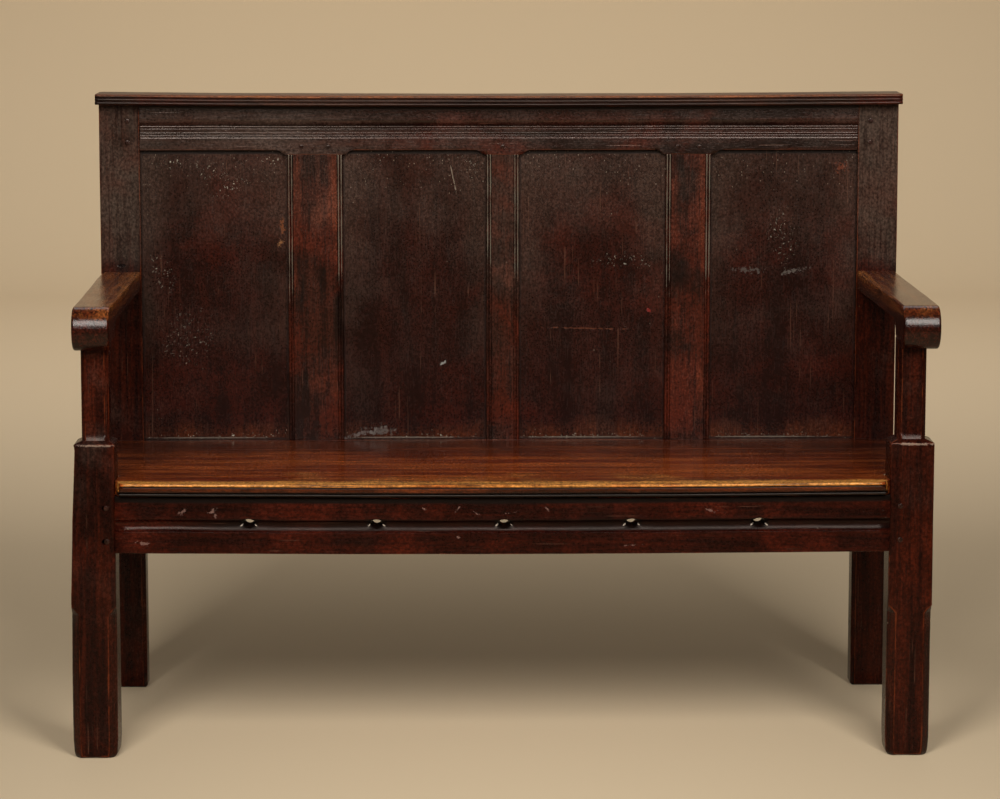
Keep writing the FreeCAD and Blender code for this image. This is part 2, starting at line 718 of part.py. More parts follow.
nodes["cap_pegs"] = group(cap_peg_places())

# The finished bench is centred on its depth, so the origin is under its middle
for name, shape in nodes.items():
    shape.translate(FreeCAD.Vector(0, -depth_middle, 0))
    shape.exportStep("parts/%s.step" % name)
    box = shape.BoundBox
    print("%-20s solids %2d valid %s volume %9.1f cm3  x %7.1f %7.1f  y %7.1f %7.1f  z %7.1f %7.1f" % (
        name, len(shape.Solids), shape.isValid(), shape.Volume / 1000,
        box.XMin, box.XMax, box.YMin, box.YMax, box.ZMin, box.ZMax))
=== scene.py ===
import math
import bpy
import bmesh
import numpy as np
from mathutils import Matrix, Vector, noise


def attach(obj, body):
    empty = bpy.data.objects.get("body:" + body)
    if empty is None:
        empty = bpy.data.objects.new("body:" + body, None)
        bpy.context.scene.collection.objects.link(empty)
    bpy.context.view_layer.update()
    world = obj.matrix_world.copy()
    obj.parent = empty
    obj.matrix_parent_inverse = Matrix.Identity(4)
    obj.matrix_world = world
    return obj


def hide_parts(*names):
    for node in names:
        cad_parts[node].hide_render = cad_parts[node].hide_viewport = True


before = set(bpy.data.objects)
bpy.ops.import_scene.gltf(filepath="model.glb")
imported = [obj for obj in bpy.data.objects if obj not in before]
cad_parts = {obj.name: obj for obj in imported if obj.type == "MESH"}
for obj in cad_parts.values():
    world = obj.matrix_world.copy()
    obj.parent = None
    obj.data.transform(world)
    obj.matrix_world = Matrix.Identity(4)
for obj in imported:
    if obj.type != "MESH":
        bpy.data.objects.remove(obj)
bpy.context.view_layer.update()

print("settle: frame loaded,", len(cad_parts), "wooden parts")

# camera, at the height and distance the photograph was taken from
cameraSettings = {"place": (-0.0889, -5.8163, 1.3944), "down": 8.21, "right": 0.85, "lens": 124.6,
                  "sensor": 36.0, "farthest": 60.0}
lens = bpy.data.cameras.new("studioCamera")
lens.lens = cameraSettings["lens"]
lens.sensor_width = cameraSettings["sensor"]
lens.clip_end = cameraSettings["farthest"]
camera = bpy.data.objects.new("studioCamera", lens)
camera.location = cameraSettings["place"]
camera.rotation_euler = (math.radians(90 - cameraSettings["down"]), 0, math.radians(-cameraSettings["right"]))
bpy.context.scene.collection.objects.link(camera)
bpy.context.scene.camera = camera

# two tall gridded soft boxes in front, one wide one high behind, one for the wall and one for the far
# floor, in a dim room
benchMiddle = (0.0, 0.0, 0.55)
softBoxes = {
    "leftBox": {"place": (-0.95, -3.15, 2.60), "size": (1.15, 1.9), "power": 25.5, "spread": 84,
                "aim": benchMiddle},
    "rightBox": {"place": (1.05, -3.10, 2.60), "size": (1.15, 1.9), "power": 25.5, "spread": 84,
                 "aim": benchMiddle},
    "highBox": {"place": (0.0, 2.3, 3.1), "size": (3.2, 1.2), "power": 14, "spread": 180,
                "aim": benchMiddle},
    "wallBox": {"place": (0.0, 3.2, 4.4), "size": (7.0, 0.8), "power": 170, "spread": 150,
                "aim": (0.0, 7.2, 0.4)},
    "farFloorBox": {"place": (0.0, -7.0, 4.6), "size": (6.0, 2.5), "power": 70, "spread": 100,
                    "aim": (0.0, -7.001, 0.0)},
}
for boxName, box in softBoxes.items():
    lamp = bpy.data.lights.new(boxName, "AREA")
    lamp.shape = "RECTANGLE"
    lamp.size, lamp.size_y = box["size"]
    lamp.energy = box["power"]
    lamp.spread = math.radians(box["spread"])
    lampObject = bpy.data.objects.new(boxName, lamp)
    lampObject.location = box["place"]
    aim = Vector(box["aim"]) - Vector(box["place"])
    lampObject.rotation_euler = aim.to_track_quat("-Z", "Y").to_euler()
    bpy.context.scene.collection.objects.link(lampObject)

room = {"colour": (0.90, 0.84, 0.76), "strength": 0.10}
world = bpy.data.worlds.new("studioRoom")
bpy.context.scene.world = world
world.use_nodes = True
roomLight = world.node_tree.nodes["Background"]
roomLight.inputs["Color"].default_value = (*room["colour"], 1)
roomLight.inputs["Strength"].default_value = room["strength"]
bpy.context.scene.view_settings.view_transform = "Standard"
print("settle: camera and lights set")


def paperSweep(settings):
    # one sheet of pale paper, floor and wall in one curve
    start, radius = settings["bendStart"], settings["bendRadius"]
    turns = [math.radians(angle) for angle in range(0, 91, 6)]
    bend = [(start + radius * math.sin(turn), radius - radius * math.cos(turn)) for turn in turns]
    outline = [(settings["frontEdge"], 0.0), *bend, (start + radius, settings["top"])]
    sheet = bmesh.new()
    profile = [sheet.verts.new((-settings["halfWidth"], y, z)) for y, z in outline]
    for a, b in zip(profile, profile[1:]):
        sheet.edges.new((a, b))
    grown = bmesh.ops.extrude_edge_only(sheet, edges=sheet.edges[:])
    moved = [v for v in grown["geom"] if isinstance(v, bmesh.types.BMVert)]
    bmesh.ops.translate(sheet, verts=moved, vec=(2 * settings["halfWidth"], 0, 0))
    bmesh.ops.recalc_face_normals(sheet, faces=sheet.faces[:])
    mesh = bpy.data.meshes.new("paperSweep")
    sheet.to_mesh(mesh)
    sheet.free()
    for face in mesh.polygons:
        face.use_smooth = True
    paper = bpy.data.objects.new("paperSweep", mesh)
    bpy.context.scene.collection.objects.link(paper)
    skin = bpy.data.materials.new("palePaper")
    skin.use_nodes = True
    shader = skin.node_tree.nodes["Principled BSDF"]
    shader.inputs["Base Color"].default_value = (*settings["colour"], 1)
    shader.inputs["Roughness"].default_value = settings["roughness"]
    mesh.materials.append(skin)
    return paper


paperSettings = {"halfWidth": 16.0, "frontEdge": -12.0, "bendStart": 6.4, "bendRadius": 1.2, "top": 5.0,
                 "colour": (0.60, 0.46, 0.29), "roughness": 0.85}
paper = paperSweep(paperSettings)
print("settle: floor and backdrop laid")

# the patterns in the wood, each a noise that may be stretched along the grain and shifted
oakPatterns = {
    "pores": {"stretch": (45, 640, 640), "detail": 2.0, "rough": 0.6},
    "streaks": {"stretch": (11, 230, 230), "detail": 3.0, "rough": 0.65},
    "clouds": {"shift": (3.1, 7.7, 1.3), "scale": 8.0, "detail": 5.0, "rough": 0.62},
    "leather": {"scale": 420.0, "detail": 3.0, "rough": 0.6},
    "crumbs": {"shift": (6.2, 2.8, 3.3), "scale": 150.0, "detail": 5.0, "rough": 0.75},
    "grit": {"shift": (1.2, 5.8, 0.3), "scale": 330.0, "detail": 3.0, "rough": 0.6},
    "scuff": {"stretch": (20, 60, 60), "shift": (1.7, 0.4, 5.2), "detail": 5.0, "rough": 0.7},
    "gather": {"shift": (2.4, 9.1, 4.6), "scale": 6.0, "detail": 2.0, "rough": 0.5},
}
# where each layer sets in and where it is full, in the values of its pattern
oakSteps = {
    "figure": (0.36, 0.64), "handledFigure": (0.38, 0.62), "handled": (0.08, 0.62), "golden": (0.66, 1.02),
    "bloomed": (0.1, 0.9), "streaks": (0.46, 0.68), "mottle": (0.34, 0.68), "pores": (0.56, 0.72),
    "pegged": (0.25, 0.8), "grimed": (0.1, 0.9), "gather": (0.5, 0.7), "dents": (0.24, 0.46),
    "chalk": (0.45, 0.5), "scratches": (0.69, 0.75), "fewScratches": (0.54, 0.64), "scars": (0.75, 1.05),
    "specks": (0.64, 0.68), "waxing": (0.35, 0.65), "glossPores": (0.5, 0.7), "reliefPores": (0.5, 0.75),
}
# fine scratches run in two ways, each kept to a few places
scratchWays = (
    {"turn": (0.5, 0.55, 0.62), "shift": (0.3, 0.2, 0.9), "fewShift": (8.4, 0.2, 2.2)},
    {"turn": (0.2, -0.6, -0.45), "shift": (4.3, 1.2, 0.4), "fewShift": (12.4, 0.2, 2.2)},
)


def agedOak(finish):
    # dark waxed oak: figure, pores, red and black patches, rubbed arrises, dents and old wax
    material = bpy.data.materials.new(finish["name"])
    material.use_nodes = True
    tree = material.node_tree
    tree.nodes.clear()

    def put(kind, inputs=None, **options):
        one = tree.nodes.new(kind)
        for key, value in options.items():
            setattr(one, key, value)
        for key, value in (inputs or {}).items():
            if isinstance(value, bpy.types.NodeSocket):
                tree.links.new(value, one.inputs[key])
            else:
                one.inputs[key].default_value = value
        return one

    def noiseAt(vector, scale, detail, rough, distortion=0.0):
        return put("ShaderNodeTexNoise", {"Vector": vector, "Scale": scale, "Detail": detail,
                                          "Roughness": rough, "Distortion": distortion}).outputs["Fac"]

    def stretched(vector, scale, turn=(0, 0, 0), shift=(0, 0, 0)):
        return put("ShaderNodeMapping", {"Vector": vector, "Location": shift, "Rotation": turn,
                                         "Scale": scale}).outputs["Vector"]

    def pattern(name, vector):
        kind = oakPatterns[name]
        if "stretch" in kind or "shift" in kind:
            vector = stretched(vector, kind.get("stretch", (1, 1, 1)), shift=kind.get("shift", (0, 0, 0)))
        return noiseAt(vector, kind.get("scale", 1.0), kind["detail"], kind["rough"])

    def between(value, low, high, first=0.0, last=1.0):
        return put("ShaderNodeMapRange", {"Value": value, "From Min": low, "From Max": high,
                                          "To Min": first, "To Max": last},
                   interpolation_type="SMOOTHSTEP").outputs["Result"]

    def stepped(value, step, first=0.0, last=1.0):
        return between(value, *oakSteps[step], first, last)

    def maths(kind, first, second=0.0, third=0.0):
        return put("ShaderNodeMath", {0: first, 1: second, 2: third}, operation=kind).outputs["Value"]

    def painted(name):
        return put("ShaderNodeAttribute", attribute_name=name).outputs["Fac"]

    def mixed(amount, first, second, kind="MIX"):
        blend = put("ShaderNodeMix", data_type="RGBA", blend_type=kind)
        for socket, value in ((blend.inputs[0], amount), (blend.inputs[6], first), (blend.inputs[7], second)):
            if isinstance(value, bpy.types.NodeSocket):
                tree.links.new(value, socket)
            else:
                socket.default_value = value if isinstance(value, float) else (*value, 1)
        return blend.outputs[2]

    turns = {"x": (0, 0, 0), "y": (0, 0, math.radians(90)), "z": (0, math.radians(90), 0)}
    where = put("ShaderNodeTexCoord").outputs["Object"]
    along = stretched(where, (1, 1, 1), turns[finish["grain"]], finish["shift"])
    figure = noiseAt(stretched(along, finish["figure"]), 1.0, 4.0, 0.6, 0.7)
    patches = noiseAt(along, finish["patchScale"], 5.0, 0.62, 0.5)
    mottle = noiseAt(stretched(along, (0.8, 1, 1), shift=(5.1, 0.7, 2.9)), finish["mottleScale"], 5.0, 0.7)
    pores, streaks, clouds = (pattern(name, along) for name in ("pores", "streaks", "clouds"))
    crumbs, grit = pattern("crumbs", where), pattern("grit", where)
    drift = maths("SUBTRACT", clouds, 0.5)

    # the colour, from the wood outward to wax and wear
    colour = mixed(stepped(figure, "figure"), finish["dark"], finish["middle"])
    colour = mixed(between(patches, finish["redFrom"], finish["redFrom"] + finish["redSoft"]), colour,
                   finish["red"])
    # wear from handling; on the panels' feet this mask is partly a painted reflection of the seat
    handled = maths("MULTIPLY_ADD", drift, finish["handledBreak"], painted("handled"))
    rich = mixed(stepped(figure, "handledFigure"), finish["handledDark"], finish["handledLight"])
    colour = mixed(stepped(handled, "handled"), colour, rich)
    colour = mixed(stepped(handled, "golden"), colour, finish["golden"])
    # grey wax bloom, partly a painted sheen where the mask rises toward the tops of the panels, stiles and
    # muntins
    bloomed = maths("MULTIPLY_ADD", drift, finish["bloomBreak"], painted("bloomed"))
    colour = mixed(maths("MULTIPLY", stepped(bloomed, "bloomed"), finish["bloom"]), colour, finish["greyWax"])
    colour = mixed(maths("MULTIPLY", stepped(streaks, "streaks"), finish["streak"]), colour, finish["dark"])
    shade = stepped(mottle, "mottle", 1.0 - finish["mottle"], 1.0 + finish["mottle"])
    colour = mixed(1.0, colour, shade, "MULTIPLY")
    colour = mixed(maths("MULTIPLY", stepped(pores, "pores"), finish["pore"]), colour, finish["poreColour"])
    pegged = stepped(painted("pegged"), "pegged")
    colour = mixed(maths("MULTIPLY", pegged, finish["pegShade"]), colour, finish["dark"])
    # painted shade: this mask darkens corners, gaps, hollows and parts under overhangs to near black; along the
    # seat joint it is the dark joint itself
    grimed = maths("MULTIPLY_ADD", drift, finish["grimeBreak"], painted("grimed"))
    colour = mixed(stepped(grimed, "grimed"), colour, finish["poreColour"])

    # arrises rubbed through to the red and orange wood; on the muntins this layer also paints pale highlights
    # along the reed crests
    wornAndHighlit = between(maths("MULTIPLY_ADD", pattern("scuff", along), finish["wearBreak"], painted("rubbed")),
                   finish["wearFrom"], finish["wearFrom"] + finish["wearSoft"])
    colour = mixed(maths("MULTIPLY", wornAndHighlit, finish["wearAmount"]), colour, finish["wornColour"])

    # dents and chalky specks, more of them where the wood is dusty
    cells = put("ShaderNodeTexVoronoi", {"Vector": stretched(along, finish["dentStretch"]),
                                         "Scale": finish["dentScale"]})
    chosen = put("ShaderNodeSeparateColor", {"Color": cells.outputs["Color"]})
    ragged = maths("MULTIPLY_ADD", crumbs, finish["dentRagged"], cells.outputs["Distance"])
    gathered = stepped(pattern("gather", along), "gather")
    chance = maths("MULTIPLY_ADD", gathered, finish["gatheredDents"], chosen.outputs["Red"])
    chance = maths("MULTIPLY_ADD", painted("dusty"), finish["dustyDents"], chance)
    marked = between(chance, finish["dentFrom"], finish["dentFrom"] + finish["dentSoft"])
    dent = maths("MULTIPLY", stepped(ragged, "dents", 1.0, 0.0), marked)
    chalk = maths("MULTIPLY", dent, stepped(chosen.outputs["Green"], "chalk"))

    # fine scratches
    scratches = None
    for way in scratchWays:
        line = noiseAt(stretched(along, finish["scratchStretch"], way["turn"], way["shift"]), 1.0, 1.0, 0.4)
        few = noiseAt(stretched(along, (1, 1, 1), shift=way["fewShift"]), 14.0, 2.0, 0.5)
        line = maths("MULTIPLY", stepped(line, "scratches"), stepped(few, "fewScratches"))
        scratches = line if scratches is None else maths("MAXIMUM", scratches, line)
    colour = mixed(maths("MULTIPLY", dent, finish["dentShade"]), colour, finish["dark"])
    colour = mixed(maths("MULTIPLY", chalk, finish["chalk"]), colour, finish["chalkColour"])
    colour = mixed(maths("MULTIPLY", scratches, finish["scratch"]), colour, finish["scratchColour"])

    # single scars, each at its own place
    scars = None
    for mark in finish["marks"]:
        local = put("ShaderNodeMapping", {"Vector": where, "Location": mark["at"], "Rotation": mark["turn"],
                                          "Scale": mark["half"]}, vector_type="TEXTURE").outputs["Vector"]
        reach = put("ShaderNodeVectorMath", {0: local}, operation="LENGTH").outputs["Value"]
        reach = maths("MULTIPLY_ADD", maths("SUBTRACT", crumbs, 0.47), mark["ragged"], reach)
        spot = stepped(reach, "scars", mark["amount"], 0.0)
        if mark["specks"]:
            spot = maths("MULTIPLY", spot, stepped(grit, "specks"))
        colour = mixed(spot, colour, mark["colour"])
        scars = spot if scars is None else maths("MAXIMUM", scars, spot)

    # gloss and relief
    waxing = maths("MULTIPLY_ADD", mottle, 0.5, maths("MULTIPLY", clouds, 0.5))
    gloss = stepped(waxing, "waxing", finish["glossLow"], finish["glossHigh"])
    gloss = maths("MULTIPLY_ADD", stepped(pores, "glossPores"), finish["poreGloss"], gloss)
    gloss = maths("MULTIPLY_ADD", painted("grimed"), finish["grimeGloss"], gloss)
    depths = finish["depths"]
    height = maths("MULTIPLY", pattern("leather", along), finish["leather"])
    for part, amount in ((mottle, finish["leather"] * depths["mottle"]),
                         (stepped(pores, "reliefPores"), depths["pores"]), (streaks, depths["streaks"]),
                         (clouds, depths["clouds"]), (dent, depths["dents"]), (scratches, depths["scratches"])):
        height = maths("MULTIPLY_ADD", part, amount, height)
    if scars is not None:
        height = maths("MULTIPLY_ADD", scars, depths["scars"], height)
    relief = put("ShaderNodeBump", {"Height": height, "Strength": 1.0,
                                    "Distance": finish["relief"]}).outputs["Normal"]

    shader = put("ShaderNodeBsdfPrincipled", {"Base Color": colour, "Roughness": gloss, "Normal": relief,
                                              "IOR": finish["ior"], "Specular IOR Level": finish["sheen"],
                                              "Specular Tint": (*finish["sheenColour"], 1)})
    put("ShaderNodeOutputMaterial", {"Surface": shader.outputs["BSDF"]})
    return material


darkOak = {
    "grain": "x", "shift": (0, 0, 0), "figure": (3.0, 55, 55), "patchScale": 6.0,
    "dark": (0.0050, 0.0013, 0.0009), "middle": (0.0240, 0.0052, 0.0026),
    "red": (0.0420, 0.0062, 0.0028), "redFrom": 0.50, "redSoft": 0.18,
    "greyWax": (0.044, 0.028, 0.019), "bloom": 0.7, "bloomBreak": 1.1,
    "streak": 0.6, "mottle": 0.5, "mottleScale": 260.0,
    "handledDark": (0.030, 0.0065, 0.0026), "handledLight": (0.070, 0.0150, 0.0045), "handledBreak": 0.9,
    "golden": (0.20, 0.075, 0.018), "pore": 0.5, "poreColour": (0.0030, 0.0010, 0.0007),
    "pegShade": 0.4, "grimeBreak": 0.6,
    "wornColour": (0.16, 0.030, 0.008), "wearBreak": 0.95, "wearFrom": 1.28, "wearSoft": 0.2,
    "wearAmount": 0.7,
    "dentFrom": 1.0, "dentSoft": 0.02, "dentScale": 190.0, "dentStretch": (1, 1.6, 1.6), "dentRagged": 0.4,
    "dentShade": 0.3, "dustyDents": 0.55, "gatheredDents": 0.05,
    "chalk": 0.6, "chalkColour": (0.34, 0.26, 0.18),
    "scratch": 0.25, "scratchColour": (0.16, 0.07, 0.04), "scratchStretch": (5, 380, 380),
    "glossLow": 0.15, "glossHigh": 0.29, "poreGloss": 0.08, "grimeGloss": 0.25,
    "leather": 0.9, "relief": 0.00016,
    "depths": {"mottle": 1.6, "pores": -0.25, "streaks": 0.5, "clouds": 1.6, "dents": -1.6,
               "scratches": -0.4, "scars": -3.0},
    "ior": 1.45, "sheen": 0.36, "sheenColour": (1.0, 0.80, 0.68), "marks": [],
}


def oakLike(name, **changes):
    return agedOak({**darkOak, "name": name, **changes})


scarDepth = 0.04  # how far a scar's colour reaches into the wood
darkCrack = (0.004, 0.0015, 0.001)
# pale colour of the painted highlights on the front blocks' rims
rimHighlight = (0.26, 0.17, 0.12)
chalky = (0.42, 0.37, 0.28)


def scar(at, half, turn, colour, amount, ragged, flat="y", specks=False):
    # a mark on a front face, flat to y, or on a top face, flat to z
    turning = {"y": (0, math.radians(turn), 0), "z": (0, 0, math.radians(turn))}[flat]
    size = {"y": (half[0], scarDepth, half[1]), "z": (half[0], half[1], scarDepth)}[flat]
    return {"at": at, "half": size, "turn": turning, "colour": colour, "amount": amount, "ragged": ragged,
            "specks": specks}


def eased(value, low, high):
    # 0 below low, 1 above high, and smooth between them
    t = min(max((value - low) / (high - low), 0.0), 1.0)
    return t * t * (3.0 - 2.0 * t)


weldGap = 0.00002  # corners of a solid that are nearer than this are one
flatTurn = 0.6  # faces that turn by less than this many degrees are one


def pegsOf(node):
    # each loose lump of the node's mesh is one peg
    loose = bmesh.new()
    loose.from_mesh(node.data)
    bmesh.ops.remove_doubles(loose, verts=loose.verts, dist=weldGap)
    found, waiting = [], set(loose.verts)
    while waiting:
        grown, edge = set(), {waiting.pop()}
        while edge:
            grown |= edge
            edge = {e.other_vert(v) for v in edge for e in v.link_edges} - grown
        waiting -= grown
        spots = np.array([v.co[:] for v in grown])
        found.append({"low": spots.min(0), "high": spots.max(0), "middle": (spots.min(0) + spots.max(0)) / 2})
    loose.free()
    return found


pegNodes = [nodeName for nodeName in sorted(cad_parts) if nodeName.endswith("_pegs")]
allPegs = [peg for nodeName in pegNodes for peg in pegsOf(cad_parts[nodeName])]
pegMarks = {"inside": 0.001, "cuts": (0.007, 0.014), "shade": 0.013}


def pegsThrough(nodeName, low, high):
    if nodeName in pegNodes:
        return []
    inside = pegMarks["inside"]
    return [peg for peg in allPegs if np.all(peg["high"] > low + inside) and np.all(peg["low"] < high - inside)]


def acrossRun(run):
    # the two axes that cross a run of wood
    longest = int(np.argmax(np.abs(run)))
    return [k for k in range(3) if k != longest]


def longArrises(shape, settings):
    found = []
    for edge in shape.edges:
        if len(edge.link_faces) != 2 or not edge.is_convex:
            continue
        if edge.calc_face_angle() < math.radians(settings["sharp"]):
            continue
        if edge.calc_length() < settings["shortest"]:
            continue
        run = (edge.verts[1].co - edge.verts[0].co).normalized()
        axis = max(range(3), key=lambda k: abs(run[k]))
        if "xyz"[axis] not in settings["along"]:
            continue
        if any(low <= edge.verts[0].co[k] <= high and low <= edge.verts[1].co[k] <= high
               for k, low, high in settings["leave"]):
            continue
        found.append(edge)
    return found


def spreadOut(places, least):
    kept = []
    for place in sorted(places):
        if not kept or place - kept[-1] > least:
            kept.append(place)
    return kept


def cutAcross(shape, axis, place):
    normal = Vector((0, 0, 0))
    normal[axis] = 1.0
    spot = Vector((0, 0, 0))
    spot[axis] = place
    everything = shape.verts[:] + shape.edges[:] + shape.faces[:]
    bmesh.ops.bisect_plane(shape, geom=everything, dist=2 * weldGap, plane_co=spot, plane_no=normal)


def cutForWear(shape, settings, arrises, pegsHere, low, high):
    # cuts beside each rubbed arris and round each peg, with a grid between them, for wear and shape to follow
    cuts = [list(places) for places in settings["cuts"]]
    for first, last in arrises:
        for k in acrossRun(last - first):
            cuts[k] += [first[k] - settings["band"], first[k] + settings["band"]]
    for peg in pegsHere:
        for k in acrossRun(peg["high"] - peg["low"]):
            cuts[k] += [peg["middle"][k] + side * away for side in (-1, 1) for away in pegMarks["cuts"]]
    for k in range(3):
        if settings["steps"][k]:
            count = max(1, round((high[k] - low[k]) / settings["steps"][k]))
            cuts[k] += [low[k] + (high[k] - low[k]) * n / count for n in range(1, count)]
        for place in spreadOut([c for c in cuts[k] if low[k] < c < high[k]], settings["least"]):
            cutAcross(shape, k, place)


def wearOf(spots, settings, arrises, pegsHere):
    # how much of each kind of wear, and of painted shade, sheen, highlight and reflection, every point has
    rubbed = np.zeros(len(spots))
    for first, last in arrises:
        run = last - first
        t = np.clip(((spots - first) @ run) / (run @ run), 0, 1)
        away = np.linalg.norm(spots - (first + t[:, None] * run), axis=1)
        rubbed = np.maximum(rubbed, 1 - away / settings["reach"])
    if "fading" in settings:
        rubbed *= np.array([settings["fading"](Vector(spot)) for spot in spots])
    pegged = np.zeros(len(spots))
    for peg in pegsHere:
        away = np.linalg.norm((spots - peg["middle"])[:, acrossRun(peg["high"] - peg["low"])], axis=1)
        pegged = np.maximum(pegged, 1 - away / pegMarks["shade"])
    wear = {"rubbed": rubbed, "pegged": pegged}
    for layer in ("handled", "bloomed", "dusty", "grimed"):
        wear[layer] = [settings[layer](Vector(spot)) if layer in settings else 0.0 for spot in spots]
    return wear


swellWaves = {"broad": 7.0, "fine": 23.0, "fineShare": 0.35}
noise.seed_set(1)  # noise_vector is set by the clock without a seed, so every run would differ


def swollen(place, swell, seed):
    # no face of old oak is quite flat
    drift = noise.noise_vector(place * swellWaves["broad"] + Vector((seed, 0, 0)))
    fine = noise.noise_vector(place * swellWaves["fine"] + Vector((0, seed, 0)))
    return place + (drift * swell + fine * swell * swellWaves["fineShare"])


# how a piece is worked where its own dictionary doesn't say
workDefaults = {"sharp": 24, "shortest": 0.012, "leave": [], "segments": 2, "crease": 40, "swell": 0.0,
                "cuts": ([], [], []), "rubs": [], "band": 0.006, "reach": 0.007, "least": 0.0022}


def workedPiece(ownSettings):
    # a copy of the solid with its arrises rubbed round and its faces no longer flat
    settings = {**workDefaults, **ownSettings}
    nodeName = settings["node"]
    shape = bmesh.new()
    shape.from_mesh(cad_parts[nodeName].data)
    bmesh.ops.remove_doubles(shape, verts=shape.verts, dist=weldGap)
    bmesh.ops.dissolve_limit(shape, angle_limit=math.radians(flatTurn), verts=shape.verts, edges=shape.edges)
    low = np.array([min(v.co[k] for v in shape.verts) for k in range(3)])
    high = np.array([max(v.co[k] for v in shape.verts) for k in range(3)])
    edges = longArrises(shape, settings)
    arrises = [[e.verts[0].co[:], e.verts[1].co[:]] for e in edges] + list(settings["rubs"])
    arrises = np.array(arrises).reshape(-1, 2, 3)
    if edges:
        bmesh.ops.bevel(shape, geom=edges, offset=settings["round"], offset_type="OFFSET",
                        segments=settings["segments"], profile=0.5, affect="EDGES",
                        clamp_overlap=True, material=-1)
    pegsHere = pegsThrough(nodeName, low, high)
    cutForWear(shape, settings, arrises, pegsHere, low, high)
    mesh = bpy.data.meshes.new(settings["name"])
    shape.to_mesh(mesh)
    shape.free()
    spots = np.zeros(len(mesh.vertices) * 3)
    mesh.vertices.foreach_get("co", spots)
    spots = spots.reshape(-1, 3)
    for layer, values in wearOf(spots, settings, arrises, pegsHere).items():
        held = mesh.attributes.new(layer, "FLOAT", "POINT")
        held.data.foreach_set("value", np.clip(values, 0, 1).astype(np.float32))
    for vertex, spot in zip(mesh.vertices, spots):
        place = Vector(spot)
        if settings["swell"]:
            place = swollen(place, settings["swell"], settings["seed"])
        vertex.co = settings["shaping"](place) if "shaping" in settings else place
    for face in mesh.polygons:
        face.use_smooth = True
    mesh.set_sharp_from_angle(angle=math.radians(settings["crease"]))
    piece = bpy.data.objects.new(settings["name"], mesh)
    bpy.context.scene.collection.objects.link(piece)
    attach(piece, "root")
    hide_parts(nodeName)
    mesh.materials.append(settings["finish"])
    return piece


# the cap and the seat frame have sunk in the middle
capSag = {"depth": 0.0034, "halfLength": 0.70}
seatSag = {"depth": 0.0033, "halfLength": 0.64}


def sagAt(place, sag):
    return sag["depth"] * max(0.0, 1.0 - (place.x / sag["halfLength"]) ** 2)


def sunkSeat(place):
    return place - Vector((0, 0, sagAt(place, seatSag) * eased(-place.y, -0.12, 0.25)))


def sunkCap(place):
    return place - Vector((0, 0, sagAt(place, capSag) * eased(place.z, 0.99, 1.04)))


acrossPieces = {"slot": "frame_oak", "along": "x", "round": 0.0016, "steps": (0.03, 0.012, 0.012),
                "swell": 0.0004}
uprightPieces = {"slot": "frame_oak", "along": "z", "round": 0.0018, "steps": (0.012, 0.012, 0.03),
                 "swell": 0.0004}

# front rail, with its groove and five cord holes
railSizes = {"face": -0.283, "holeSpacing": 0.2074, "holeHeight": 0.394, "holeRadius": 0.0088,
             "wornRadius": 0.022, "grooveHeight": 0.3905, "grooveHalf": 0.020, "leftDrift": 0.0035}
cordHoles = [place * railSizes["holeSpacing"] for place in (-2, -1, 0, 1, 2)]
railScratches = (  # place along the rail, height, half length, half width, turn
    (-0.523, 0.4125, 0.0064, 0.0026, -30), (-0.475, 0.4130, 0.0096, 0.0026, -35),
    (-0.470, 0.4060, 0.0048, 0.0026, 50), (-0.076, 0.4155, 0.0064, 0.0014, -50),
    (-0.046, 0.4100, 0.0080, 0.0014, 35), (0.004, 0.4090, 0.0112, 0.0014, -8),
    (0.070, 0.4160, 0.0040, 0.0014, 50), (-0.130, 0.4170, 0.0032, 0.0014, 40),
    (0.330, 0.4150, 0.0096, 0.0014, 20), (-0.585, 0.3610, 0.0096, 0.0026, 3),
    (-0.075, 0.3700, 0.0024, 0.0014, 0), (0.210, 0.3560, 0.0128, 0.0014, -4))
frayedRim, bruised = (0.42, 0.34, 0.26), (0.16, 0.085, 0.065)
railScars = [scar((hole + way * 0.0118, -0.280, 0.3892), (0.0032, 0.0013), way * 40, frayedRim, 0.7, 2.0)
             for hole in cordHoles for way in (-1, 1)]
railScars += [scar((x, railSizes["face"], z), (long, wide), turn, bruised, 0.65, 8.0)
              for x, z, long, wide, turn in railScratches]
railOak = oakLike("railOak", shift=(0.7, 0.1, 0.3), dark=(0.0070, 0.0010, 0.0006),
                  middle=(0.0230, 0.0030, 0.0012), red=(0.0400, 0.0048, 0.0018), redFrom=0.46, bloom=0.3,
                  sheen=0.18, marks=railScars)


def wornRail(place):
    # the groove wanders, the cord has worn each hole wide at its mouth, and the whole rail has sunk
    mouth = eased(-place.y, 0.262, 0.283)
    wander = 0.0014 * noise.noise(Vector((place.x * 9.0, 1.7, 0)))
    inGroove = eased(railSizes["grooveHalf"] - abs(place.z - railSizes["grooveHeight"]), 0.0, 0.008)
    spread = Vector((0, 0, wander * mouth * inGroove))
    for hole in cordHoles:
        away = Vector((place.x - hole, 0, place.z - railSizes["holeHeight"]))
        if away.length < railSizes["wornRadius"]:
            near = 1 - eased(away.length, railSizes["holeRadius"], railSizes["wornRadius"])
            spread = Vector((away.x * 0.45 * mouth * near, 0, 0.0036 * (1 - mouth) * near))
    spread.x -= railSizes["leftDrift"] * eased(-place.x, 0.52, 0.62)
    return sunkSeat(place + spread)


# painted shadow under the seat nose and painted shade inside the cord holes; the groove is darkened partly as
# painted shade and partly as grime
def railShadeAndGrime(place):
    front = eased(-place.y, 0.262, 0.270)
    head = 1.25 * eased(place.z, 0.4255, 0.4335)
    groove = 0.65 * (1 - eased(abs(place.z - 0.3925), 0.008, 0.0125)) * eased(place.x, -0.60, -0.45)
    inside = max(1 - eased(math.hypot(place.x - hole, place.z - railSizes["holeHeight"]), 0.0088, 0.0092)
                 for hole in cordHoles)
    return max(front * max(head, groove), inside)


